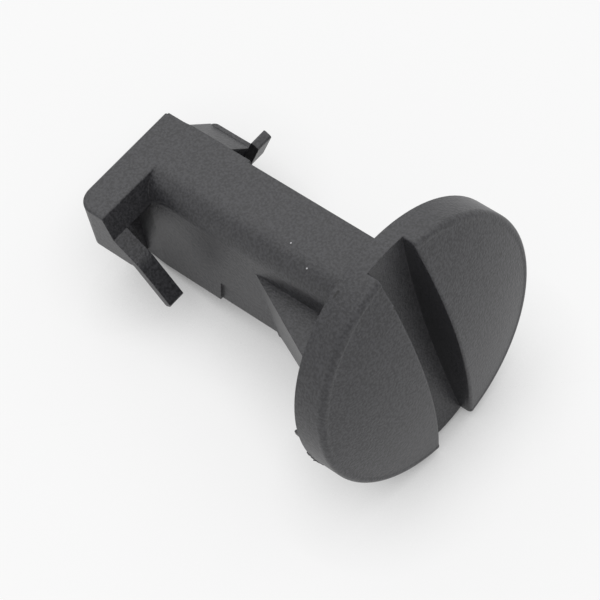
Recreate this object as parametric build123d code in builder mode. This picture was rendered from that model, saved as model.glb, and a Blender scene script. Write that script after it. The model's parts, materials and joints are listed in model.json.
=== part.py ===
from build123d import *
from math import atan2, degrees
import os

# Quarter-turn cover clip, moulded in one piece of black nylon.
# It has a round head with a coin slot, a shank, and two lugs at the tail with a spring finger each.
# It is drawn along X, with the centre of the head's underside at the origin and the head towards +X.
# At the end it is laid down as it comes to rest, on its rim and on the lower edge of its tail.

# Head
head_radius = 15.0
rim_thickness = 3.75  # from the underside to the top of the rounded rim
rim_round = 0.7
rim_round_angle = 102.0  # past 90 the round dips into the valley beside the dome
dome_height = 1.9  # above the rim

# Coin slot
slot_width = 4.9
slot_floor_middle = 0.95  # floor above the underside, at the clip's axis
slot_floor_end = 2.1  # floor above the underside, at the rim
slot_edge_round = 0.25

# Shank, whose section leans and has two sharp and two soft corners
shank_length = 35.2
shank_half_height = 6.64
sharp_corner_reach = 4.7
wall_lean = 1.54  # sideways run of a side wall over the shank's whole height
soft_corner_radius = 3.0
tail_taper_length = 4.0  # the sharp-cornered walls draw in a little at the tail
tail_taper = 0.32

# Shallow relief beside each sharp corner, from the head towards the tail
relief_length = 22.3
relief_height = 3.1
relief_depth = 0.3
relief_end_slant = 0.8

# Gusset between the shank and the head, on one side only
gusset_top = 2.1  # height of its flat upper face above the axis
gusset_top_length = 15.9
gusset_top_reach = 10.6  # from the axis, where the sloping face meets the head
gusset_bottom_length = 14.3
gusset_bottom_reach = 10.3
gusset_foot_radius = 1.0
gusset_lead_in = 0.3  # run along the wall before the foot's curve

# Tail lugs, the same on both sides after half a turn about the axis
lug_length = 4.05
lug_reach = 9.3
lug_lean = 0.85  # forward run of the head-side face down the leg
lug_slab_thickness = 3.4
lug_leg_width = 2.6
lug_leg_end = -0.1  # height of the leg's end above the axis
lug_top_corner_radius = 2.1
lug_end_corner_radius = 0.9
lug_end_wall = 1.0  # closes the pocket behind the leg, on the tail's side
lug_web_reach = 8.3  # the end wall goes on below the leg as a slanting web
lug_web_drop = 5.6

# Spring fingers, bent strips that leave the front of the legs and point at the head
finger_width = 2.0
finger_thickness = 1.07
finger_root_height = 2.97  # above the axis
finger_root_slope = 43.0
finger_root_length = 3.77
finger_slope = 59.3
finger_length = 5.6
finger_bend_radius = 2.5
finger_tip_round = 0.3

# Round on the edges of the tail and of the lugs' flat tops
tail_edge_round = 0.25

# Head, turned about X
rim_land = rim_thickness - rim_round
dome_top = rim_thickness + dome_height
with BuildPart() as straight_clip:
    with BuildSketch(Plane.XZ):
        with BuildLine():
            Polyline((dome_top, 0), (0, 0), (0, head_radius), (rim_land, head_radius))
            rim_arc = JernArc((rim_land, head_radius), (1, 0), rim_round, -rim_round_angle)
            TangentArc((dome_top, 0), rim_arc @ 1, tangent=(0, 1))
        make_face()
    revolve(axis=Axis.X)

    # Coin slot with a dished floor, right across the head
    with BuildSketch(Plane.XZ):
        with BuildLine():
            slot_floor = ThreePointArc(
                (slot_floor_end, -head_radius),
                (slot_floor_middle, 0),
                (slot_floor_end, head_radius),
            )
            slot_mouth = dome_top + slot_width
            Polyline(
                slot_floor @ 1,
                (slot_mouth, head_radius),
                (slot_mouth, -head_radius),
                slot_floor @ 0,
            )
        make_face()
    extrude(amount=slot_width / 2, both=True, mode=Mode.SUBTRACT)
    slot_edges = straight_clip.edges(Select.LAST)
    slot_rims = slot_edges.filter_by(lambda edge: edge.center().X > rim_land)
    fillet(slot_rims, radius=slot_edge_round)

    # Shank
    soft_corner_reach = sharp_corner_reach - wall_lean
    with BuildSketch(Plane.YZ.offset(-shank_length)) as shank_section:
        with BuildLine():
            Polyline(
                (sharp_corner_reach, shank_half_height),
                (-soft_corner_reach, shank_half_height),
                (-sharp_corner_reach, -shank_half_height),
                (soft_corner_reach, -shank_half_height),
                close=True,
            )
        make_face()
        soft_corners = shank_section.vertices().sort_by(lambda corner: corner.X * corner.Y)[:2]
        fillet(soft_corners, radius=soft_corner_radius)
    extrude(amount=shank_length)

    # Reliefs, sketched on the two side walls with Y = 0 at the sharp corner
    for side in (-1, 1):
        side_wall = Plane(
            origin=(0, side * sharp_corner_reach, side * shank_half_height),
            x_dir=(1, 0, 0),
            z_dir=(0, side * 2 * shank_half_height, -side * wall_lean),
        )
        with BuildSketch(side_wall):
            with BuildLine():
                Polyline(
                    (0, relief_height),
                    (-relief_length, relief_height),
                    (-relief_length - relief_end_slant, -relief_depth),
                    (0, -relief_depth),
                    close=True,
                )
            make_face()
        extrude(amount=-relief_depth, mode=Mode.SUBTRACT)

        # The wall's taper at the tail, a thin wedge sketched across the wall
        across_wall = Plane(origin=side_wall.origin, x_dir=(1, 0, 0), z_dir=side_wall.y_dir)
        with BuildSketch(across_wall):
            with BuildLine():
                Polyline(
                    (tail_taper_length - shank_length, 0),
                    (-shank_length, tail_taper),
                    (-shank_length, 0),
                    close=True,
                )
            make_face()
        extrude(amount=2 * shank_half_height, both=True, mode=Mode.SUBTRACT)

    # Gusset, drawn at its two ends, because its sloping face leaves a leaning wall
    gusset_ends = (
        (gusset_top, gusset_top_length, gusset_top_reach),
        (-shank_half_height, gusset_bottom_length, gusset_bottom_reach),
    )
    for height, length, reach in gusset_ends:
        wall = soft_corner_reach + wall_lean * (shank_half_height - height) / (2 * shank_half_height)
        start = -length - gusset_lead_in
        with BuildSketch(Plane.XY.offset(height)) as gusset_end:
            with BuildLine():
                Polyline((0, 0), (0, -reach), (-length, -wall), (start, -wall), (start, 0), close=True)
            make_face()
            fillet(gusset_end.vertices().sort_by(Axis.X)[2], radius=gusset_foot_radius)
    loft()

# One lug with its finger, on the side towards -Y
lug_front = lug_length - shank_length
lug_inner_side = lug_leg_width - lug_reach
with BuildPart() as tail_lug:
    # The block is drawn at its two ends, because the outer corner gets sharper towards the leg's end
    block_ends = (
        (shank_half_height, lug_front, lug_top_corner_radius),
        (lug_leg_end, lug_front + lug_lean, lug_end_corner_radius),
    )
    for height, front, corner_radius in block_ends:
        with BuildSketch(Plane.XY.offset(height)) as block_end:
            with BuildLine():
                Polyline((-shank_length, 0), (-shank_length, -lug_reach), (front, -lug_reach), (front, 0), close=True)
            make_face()
            fillet(block_end.vertices().sort_by(lambda corner: corner.X + corner.Y)[0], radius=corner_radius)
    loft()

    # Pocket between the leg and the shank, open towards the head and below
    with BuildSketch(Plane.XZ.offset(-lug_inner_side)):
        with BuildLine():
            Polyline(
                (lug_end_wall - shank_length, shank_half_height - lug_slab_thickness),
                (0, shank_half_height - lug_slab_thickness),
                (0, -shank_half_height),
                (lug_end_wall - shank_length, -shank_half_height),
                close=True,
            )
        make_face()
    extrude(amount=lug_inner_side, mode=Mode.SUBTRACT)

    # Web that slants from the leg's end to the shank, in line with the end wall
    with BuildSketch(Plane.YZ.offset(-shank_length)):
        with BuildLine():
            Polyline(
                (-lug_web_reach, lug_leg_end),
                (-soft_corner_reach, lug_leg_end - lug_web_drop),
                (0, lug_leg_end - lug_web_drop),
                (0, lug_leg_end),
                close=True,
            )
        make_face()
    extrude(amount=lug_end_wall)

    # The finger is a strip of even thickness along a bent line, with a web below its root
    with BuildSketch(Plane.XZ.offset(lug_reach)) as finger_side:
        with BuildLine() as finger_line:
            root = PolarLine((lug_front, finger_root_height), finger_root_length, angle=-finger_root_slope)
            PolarLine(root @ 1, finger_length, angle=-finger_slope)
            fillet(finger_line.vertices().sort_by(Axis.X)[1], radius=finger_bend_radius)
        trace(line_width=finger_thickness)
        with BuildLine():
            Polyline(root @ 0, root @ 1, (lug_front + lug_lean, lug_leg_end), close=True)
        make_face()
        tip_corners = finger_side.vertices().sort_by(Axis.Y)[:2]
        fillet(tip_corners, radius=finger_tip_round)
    extrude(amount=-finger_width)

with BuildPart() as upright_clip:
    add(straight_clip.part)
    add(tail_lug.part)
    add(tail_lug.part, rotation=(180, 0, 0))
    tail_edges = upright_clip.edges().filter_by(lambda edge: edge.center().X < lug_front + tail_edge_round)
    tail_outline = tail_edges.filter_by(lambda edge: edge.center().X < tail_edge_round - shank_length)
    lug_tops = tail_edges.filter_by(lambda edge: edge.center().Y * edge.center().Z < -shank_half_height)
    lug_top_edges = lug_tops.filter_by(lambda edge: abs(edge.center().Z) > shank_half_height - tail_edge_round)
    fillet(set(tail_outline + lug_top_edges), radius=tail_edge_round)

# Laid down about Y until the rim and the tail's lower edge are level
rest_pitch = degrees(atan2(head_radius - shank_half_height, shank_length))
with BuildPart() as turn_clip:
    add(upright_clip.part, rotation=(0, -rest_pitch, 0))
turn_clip.part.label = "turn_clip"

os.makedirs("parts", exist_ok=True)
export_step(turn_clip.part, "parts/turn_clip.step")
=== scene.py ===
import json
import math

import bpy
from mathutils import Matrix, Vector


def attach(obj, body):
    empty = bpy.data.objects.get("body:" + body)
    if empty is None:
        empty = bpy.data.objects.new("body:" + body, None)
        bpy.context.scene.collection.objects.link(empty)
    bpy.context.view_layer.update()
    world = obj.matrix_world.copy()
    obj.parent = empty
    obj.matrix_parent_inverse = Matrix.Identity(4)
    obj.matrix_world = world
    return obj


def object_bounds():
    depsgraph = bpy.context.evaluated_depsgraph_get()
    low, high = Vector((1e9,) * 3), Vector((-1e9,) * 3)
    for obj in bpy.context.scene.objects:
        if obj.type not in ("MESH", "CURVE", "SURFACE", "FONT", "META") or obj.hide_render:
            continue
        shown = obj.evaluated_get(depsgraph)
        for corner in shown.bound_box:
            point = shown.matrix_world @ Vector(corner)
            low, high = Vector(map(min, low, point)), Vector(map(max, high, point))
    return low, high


# Quarter-turn cover clip of black nylon, lying on a white table.
# Lengths are in millimetres and become metres through mm().

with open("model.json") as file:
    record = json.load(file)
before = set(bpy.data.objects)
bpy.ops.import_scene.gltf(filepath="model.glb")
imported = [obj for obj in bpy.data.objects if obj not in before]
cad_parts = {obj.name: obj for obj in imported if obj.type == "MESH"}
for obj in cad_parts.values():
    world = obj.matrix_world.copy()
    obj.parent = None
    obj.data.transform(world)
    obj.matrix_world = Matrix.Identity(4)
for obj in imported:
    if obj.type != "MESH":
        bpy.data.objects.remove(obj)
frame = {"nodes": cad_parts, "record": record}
clip = frame["nodes"]["turn_clip"]
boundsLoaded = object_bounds()
axisToTail = next(mount["axis"] for mount in frame["record"]["mounts"] if mount["name"] == "shank")
restPitch = math.atan2(-axisToTail[2], -axisToTail[0])  # slope of the lying clip's axis, up to the head
print("frame loaded")


def mm(value):
    return value * 0.001


def hexToLinear(hexCode):
    # sRGB hex to Blender's linear colour
    channels = [int(hexCode[i:i + 2], 16) / 255 for i in (1, 3, 5)]
    linear = [c / 12.92 if c <= 0.04045 else ((c + 0.055) / 1.055) ** 2.4 for c in channels]
    return (*linear, 1.0)


def addNode(tree, kind, settings=None, values=None, links=None):
    # settings are the node's own, values go on its sockets, links join sockets to other nodes' outputs
    node = tree.nodes.new(kind)
    for name, value in (settings or {}).items():
        setattr(node, name, value)
    for name, value in (values or {}).items():
        node.inputs[name].default_value = value
    for name, source in (links or {}).items():
        tree.links.new(source, node.inputs[name])
    return node


def newMaterial(name):
    material = bpy.data.materials.new(name)
    material.use_nodes = True
    material.node_tree.nodes.clear()
    return material, material.node_tree


def seenRay(tree):
    # 1 for what the camera sees straight, in gloss or through glass, and 0 for the light on things
    ray = addNode(tree, "ShaderNodeLightPath")
    seen = ray.outputs["Is Camera Ray"]
    for kind in ("Is Glossy Ray", "Is Transmission Ray"):
        either = addNode(
            tree, "ShaderNodeMath", {"operation": "MAXIMUM"},
            links={0: seen, 1: ray.outputs[kind]},
        )
        seen = either.outputs[0]
    return seen


nylon = {
    "darkColour": "#1f1f22",
    "paleColour": "#37373a",
    "speckle": (0.36, 0.64),  # grain heights that are all dark and all pale
    "roughness": 0.42,
    "ior": 1.55,
    "grainSize": 0.27,
    "grainDepth": 0.045,
    "fineGrainSize": 0.12,
    "fineGrainDepth": 0.012,
    "edgeRadius": 0.12,  # rounds the shading of sharp edges
    # Small marks on the lying clip, as place, radius and colour
    "marks": (
        ((-13.56, -0.65, 3.60), 0.08, "#c9c9cc"),  # dust on the shank
        ((-10.31, -1.92, 4.00), 0.09, "#c9c9cc"),
        ((-2.69, -5.90, 13.53), 0.14, "#060606"),  # short dark scratch on the rim
        ((-2.69, -5.71, 13.61), 0.14, "#060606"),
        ((-2.69, -5.52, 13.69), 0.14, "#060606"),
        ((-2.67, -5.36, 13.76), 0.14, "#060606"),
        ((1.79, -2.58, 11.61), 0.18, "#060606"),  # nick in the slot's edge, dark, with a painted highlight at its pale end
        # painted highlight where the nick's step catches the light
        ((1.58, -2.50, 11.87), 0.10, "#9a9a9d"),
        ((3.42, 11.30, 4.30), 0.22, "#111112"),  # faint spot on the dome
    ),
}


def makeNylon():
    # Moulded nylon from an eroded die: nearly black, with a dull gloss broken up by a fine even grain
    material, tree = newMaterial("black moulded nylon")
    place = addNode(tree, "ShaderNodeTexCoord")
    normal = addNode(tree, "ShaderNodeBevel", {"samples": 4}, {"Radius": mm(nylon["edgeRadius"])})
    grains = (
        (nylon["fineGrainSize"], nylon["fineGrainDepth"]),
        (nylon["grainSize"], nylon["grainDepth"]),
    )
    for size, depth in grains:
        grain = addNode(
            tree, "ShaderNodeTexNoise",
            values={"Scale": 1 / mm(size), "Detail": 1.0, "Roughness": 0.5},
            links={"Vector": place.outputs["Object"]},
        )
        normal = addNode(
            tree, "ShaderNodeBump",
            values={"Strength": 1.0, "Distance": mm(depth)},
            links={"Height": grain.outputs["Fac"], "Normal": normal.outputs["Normal"]},
        )
    # The coarser grain is also a little darker in its hollows
    darkest, palest = nylon["speckle"]
    speckle = addNode(
        tree, "ShaderNodeMapRange",
        values={"From Min": darkest, "From Max": palest},
        links={"Value": grain.outputs["Fac"]},
    )
    colour = addNode(
        tree, "ShaderNodeMix", {"data_type": "RGBA"},
        values={6: hexToLinear(nylon["darkColour"]), 7: hexToLinear(nylon["paleColour"])},
        links={0: speckle.outputs["Result"]},
    )
    for spot, radius, markColour in nylon["marks"]:
        away = addNode(
            tree, "ShaderNodeVectorMath", {"operation": "DISTANCE"},
            values={1: [mm(v) for v in spot]},
            links={0: place.outputs["Object"]},
        )
        onSpot = addNode(
            tree, "ShaderNodeMath", {"operation": "LESS_THAN"},
            values={1: mm(radius)},
            links={0: away.outputs["Value"]},
        )
        colour = addNode(
            tree, "ShaderNodeMix", {"data_type": "RGBA"},
            values={7: hexToLinear(markColour)},
            links={0: onSpot.outputs[0], 6: colour.outputs[2]},
        )
    shader = addNode(
        tree, "ShaderNodeBsdfPrincipled",
        values={"Roughness": nylon["roughness"], "IOR": nylon["ior"]},
        links={"Base Color": colour.outputs[2], "Normal": normal.outputs["Normal"]},
    )
    addNode(tree, "ShaderNodeOutputMaterial", links={"Surface": shader.outputs["BSDF"]})
    return material


blackNylon = makeNylon()
clip.data.materials.clear()
clip.data.materials.append(blackNylon)
print("nylon laid on the clip")


modelling = {
    "alignment": 0.9,  # cosine above which a face counts as looking a given way
    "smoothAngle": 35.0,  # degrees, below which an edge is shaded smooth
    "bevelSegments": 2,
}


def pickFaces(piece, way):
    # Leaves the piece in edit mode with only the faces that look this way selected
    bpy.ops.object.mode_set(mode="EDIT")
    bpy.ops.mesh.select_mode(type="FACE")
    bpy.ops.mesh.select_all(action="DESELECT")
    bpy.ops.object.mode_set(mode="OBJECT")
    for face in piece.data.polygons:
        face.select = face.normal.dot(Vector(way)) > modelling["alignment"]
    bpy.ops.object.mode_set(mode="EDIT")


def startBlock(name, low, high):
    # A block between two corners, in the millimetres of a clip whose axis is level
    bpy.ops.object.select_all(action="DESELECT")
    middle = [mm(a + b) / 2 for a, b in zip(low, high)]
    size = [mm(b - a) for a, b in zip(low, high)]
    bpy.ops.mesh.primitive_cube_add(size=1, location=middle, scale=size)
    block = bpy.context.object
    block.name = name
    bpy.ops.object.transform_apply()
    return block


def finishPiece(piece, edgeRound, halfTurn=False):
    # Rounds the edges, lays the piece down with the clip and fastens it
    bpy.ops.object.mode_set(mode="EDIT")
    bpy.ops.mesh.select_all(action="SELECT")
    bpy.ops.mesh.normals_make_consistent()
    bpy.ops.object.mode_set(mode="OBJECT")
    bevel = piece.modifiers.new("Bevel", "BEVEL")
    bevel.width = mm(edgeRound)
    bevel.segments = modelling["bevelSegments"]
    bpy.ops.object.modifier_apply(modifier=bevel.name)
    bpy.ops.object.shade_smooth_by_angle(angle=math.radians(modelling["smoothAngle"]))
    piece.rotation_euler = (math.pi if halfTurn else 0, -restPitch, 0)
    bpy.ops.object.transform_apply()
    piece.data.materials.append(blackNylon)
    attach(piece, "root")


# The wall behind a lug's leg, which slants to the shank's corner and is larger than in the frame
lugWeb = {
    "tail": -35.15,
    "nearFront": -34.1,
    "farFront": -28.95,
    "insideShank": -3.0,
    "insideLeg": -6.9,
    "top": 3.25,
    "legEnd": 0.3,
    # Reach from the axis and height, from the leg's end down to the shank's lower corner
    "outline": ((-8.9, 0.0), (-7.3, -1.6), (-6.3, -2.6), (-5.3, -4.4), (-4.75, -6.3)),
    "edgeRound": 0.1,
}


def makeLugWeb(name, front, halfTurn):
    # The block fills the pocket's end, and each extrusion goes on below it at a new width
    inside = lugWeb["insideShank"]
    low = (lugWeb["tail"], lugWeb["insideLeg"], lugWeb["legEnd"])
    high = (front, inside, lugWeb["top"])
    web = startBlock(name, low, high)
    pickFaces(web, (0, 0, -1))
    reach, height = lugWeb["insideLeg"], lugWeb["legEnd"]
    for nextReach, nextHeight in lugWeb["outline"]:
        drop = (0, 0, mm(nextHeight - height))
        bpy.ops.mesh.extrude_region_move(TRANSFORM_OT_translate={"value": drop})
        widening = (nextReach - inside) / (reach - inside)
        bpy.ops.transform.resize(value=(1, widening, 1), center_override=(0, mm(inside), 0))
        reach, height = nextReach, nextHeight
    finishPiece(web, lugWeb["edgeRound"], halfTurn)


makeLugWeb("near_lug_web", lugWeb["nearFront"], False)
makeLugWeb("far_lug_web", lugWeb["farFront"], True)
print("lug webs made")


# Leftovers of moulding on the back edge of the rim
rimFlash = {
    "rimRadius": 15.0,
    "start": 11.0,  # degrees below the side, round the clip's axis
    "end": 31.0,
    "steps": 26,
    "firstSlice": 0.05,  # length of the slice that is spun
    "proud": 0.06,
    "back": 0.25,  # past the head's underside, towards the tail
    "front": 0.2,
    "depth": 0.4,
    "raggedness": 0.17,
    "seed": 3,
    "edgeRound": 0.01,
}
gateNub = {
    "low": (-0.62, -14.98, 0.3),
    "high": (0.3, -14.55, 1.1),
    "taper": 0.7,  # width of the broken end against the root
    "edgeRound": 0.08,
}


def makeRimFlash():
    # A thin ragged fin, spun round the clip's axis and then roughened
    outer = rimFlash["rimRadius"] + rimFlash["proud"]
    low = (-rimFlash["back"], -outer, -rimFlash["firstSlice"])
    high = (rimFlash["front"], rimFlash["depth"] - outer, 0)
    flash = startBlock("rim_flash", low, high)
    flash.rotation_euler = (math.radians(rimFlash["start"]), 0, 0)
    bpy.ops.object.transform_apply()
    pickFaces(flash, (0, 0, -1))
    turn = math.radians(rimFlash["end"] - rimFlash["start"])
    bpy.ops.mesh.spin(steps=rimFlash["steps"], angle=turn, center=(0, 0, 0), axis=(-1, 0, 0))
    bpy.ops.mesh.select_all(action="SELECT")
    bpy.ops.transform.vertex_random(offset=mm(rimFlash["raggedness"]), seed=rimFlash["seed"])
    finishPiece(flash, rimFlash["edgeRound"])


def makeGateNub():
    # The stub of the channel that fed the mould, tapered towards the tail
    nub = startBlock("gate_nub", gateNub["low"], gateNub["high"])
    pickFaces(nub, (-1, 0, 0))
    taper = gateNub["taper"]
    middle = [mm(a + b) / 2 for a, b in zip(gateNub["low"], gateNub["high"])]
    bpy.ops.transform.resize(value=(1, taper, taper), center_override=middle)
    finishPiece(nub, gateNub["edgeRound"])


makeRimFlash()
makeGateNub()
print("rim flash and gate nub made")


table = {
    "size": 3000.0,
    "colour": "#f9f9f9",
    "glow": 0.78,  # share of plain white in what the camera and the gloss see, lightens the shadows
    "paintedShadowReach": 10.0,  # painted shadow: the paper's colour is darkened where the clip is nearer than this
    # how much of the painted shadow goes into the paper's colour
    "paintedShadowShare": 0.9,
}


def makeTable():
    bpy.ops.object.select_all(action="DESELECT")
    bpy.ops.mesh.primitive_plane_add(size=mm(table["size"]), location=(0, 0, boundsLoaded[0][2]))
    floor = bpy.context.object
    floor.name = "table"
    bpy.ops.object.transform_apply(location=True)
    material, tree = newMaterial("white table paper")
    # Painted shadow: the paper's colour is darkened by occlusion under and beside the clip, on top of
    # the lamps' real shadow
    paintedShadowAO = addNode(
        tree, "ShaderNodeAmbientOcclusion", {"samples": 8},
        values={"Color": hexToLinear(table["colour"]), "Distance": mm(table["paintedShadowReach"])},
    )
    paperWithPaintedShadow = addNode(
        tree, "ShaderNodeMix", {"data_type": "RGBA"},
        values={0: table["paintedShadowShare"], 6: hexToLinear(table["colour"])},
        links={7: paintedShadowAO.outputs["Color"]},
    )
    paper = addNode(tree, "ShaderNodeBsdfDiffuse", links={"Color": paperWithPaintedShadow.outputs[2]})
    white = addNode(
        tree, "ShaderNodeEmission",
        values={"Color": hexToLinear(table["colour"]), "Strength": 1.0},
    )
    glow = addNode(
        tree, "ShaderNodeMath", {"operation": "MULTIPLY"},
        values={1: table["glow"]},
        links={0: seenRay(tree)},
    )
    # The white share also falls where the clip is near, which paints the shadow darker there for the
    # camera and the gloss
    share = addNode(
        tree, "ShaderNodeMath", {"operation": "MULTIPLY"},
        links={0: glow.outputs[0], 1: paintedShadowAO.outputs["AO"]},
    )
    mix = addNode(
        tree, "ShaderNodeMixShader",
        links={0: share.outputs[0], 1: paper.outputs["BSDF"], 2: white.outputs["Emission"]},
    )
    addNode(tree, "ShaderNodeOutputMaterial", links={"Surface": mix.outputs["Shader"]})
    floor.data.materials.append(material)


makeTable()
print("table laid")


light = {
    # World strengths. The camera and the gloss see a plain white wall of strength 1 instead
    "wallBehind": 0.35,  # at the horizon behind the tail
    "wallAhead": 0.8,  # at the horizon that the head faces
    "ceiling": 0.3,  # overhead, beside the lamp
    "wallTop": 0.45,  # sine of the height where the wall starts to turn into the ceiling
    "ceilingEdge": 0.9,  # the same where it is all ceiling
    "sunStrength": 1.95,
    "sunSpread": 95.0,
    "sunFrom": (-0.2, 0.25, 1.0),
}


def makeLight():
    world = bpy.data.worlds.new("white studio")
    bpy.context.scene.world = world
    world.use_nodes = True
    tree = world.node_tree
    tree.nodes.clear()
    place = addNode(tree, "ShaderNodeTexCoord")
    direction = addNode(tree, "ShaderNodeSeparateXYZ", links={"Vector": place.outputs["Generated"]})
    plainWall = addNode(
        tree, "ShaderNodeMapRange",
        values={"From Min": -1.0, "To Min": light["wallBehind"], "To Max": light["wallAhead"]},
        links={"Value": direction.outputs["X"]},
    )
    wall = addNode(
        tree, "ShaderNodeMapRange",
        values={"To Max": 1.0},
        links={"Value": seenRay(tree), "To Min": plainWall.outputs["Result"]},
    )
    room = addNode(
        tree, "ShaderNodeMapRange", {"interpolation_type": "SMOOTHSTEP"},
        values={
            "From Min": light["wallTop"],
            "From Max": light["ceilingEdge"],
            "To Max": light["ceiling"],
        },
        links={"Value": direction.outputs["Z"], "To Min": wall.outputs["Result"]},
    )
    sky = addNode(
        tree, "ShaderNodeBackground",
        values={"Color": (1, 1, 1, 1)},
        links={"Strength": room.outputs["Result"]},
    )
    addNode(tree, "ShaderNodeOutputWorld", links={"Surface": sky.outputs["Background"]})

    bpy.ops.object.light_add(type="SUN", location=(0, 0, 1))
    sun = bpy.context.object
    sun.name = "large soft lamp"
    sun.data.energy = light["sunStrength"]
    sun.data.angle = math.radians(light["sunSpread"])
    x, y, z = light["sunFrom"]
    sun.rotation_euler = (math.atan2(math.hypot(x, y), z), 0, math.atan2(x, -y))


makeLight()
print("lights set")


# Fitted to the photograph's view of the head's circle, the slot and the shank
camera = {
    "place": (89.754, -94.874, 264.832),
    "right": (0.750551, 0.658445, -0.055879),
    "up": (-0.569239, 0.687174, 0.451396),
    "back": (0.335618, -0.306988, 0.890572),
    "lens": 180.0,
    "sensorWidth": 36.0,
    "nearest": 10.0,
}


def makeCamera():
    bpy.ops.object.camera_add()
    eye = bpy.context.object
    eye.name = "photo camera"
    turn = Matrix((camera["right"], camera["up"], camera["back"])).transposed()
    eye.matrix_world = Matrix.Translation([mm(v) for v in camera["place"]]) @ turn.to_4x4()
    eye.data.lens = camera["lens"]
    eye.data.sensor_width = camera["sensorWidth"]
    eye.data.clip_start = mm(camera["nearest"])
    bpy.context.scene.camera = eye


makeCamera()
bpy.context.scene.view_settings.view_transform = "Standard"
print("camera set")
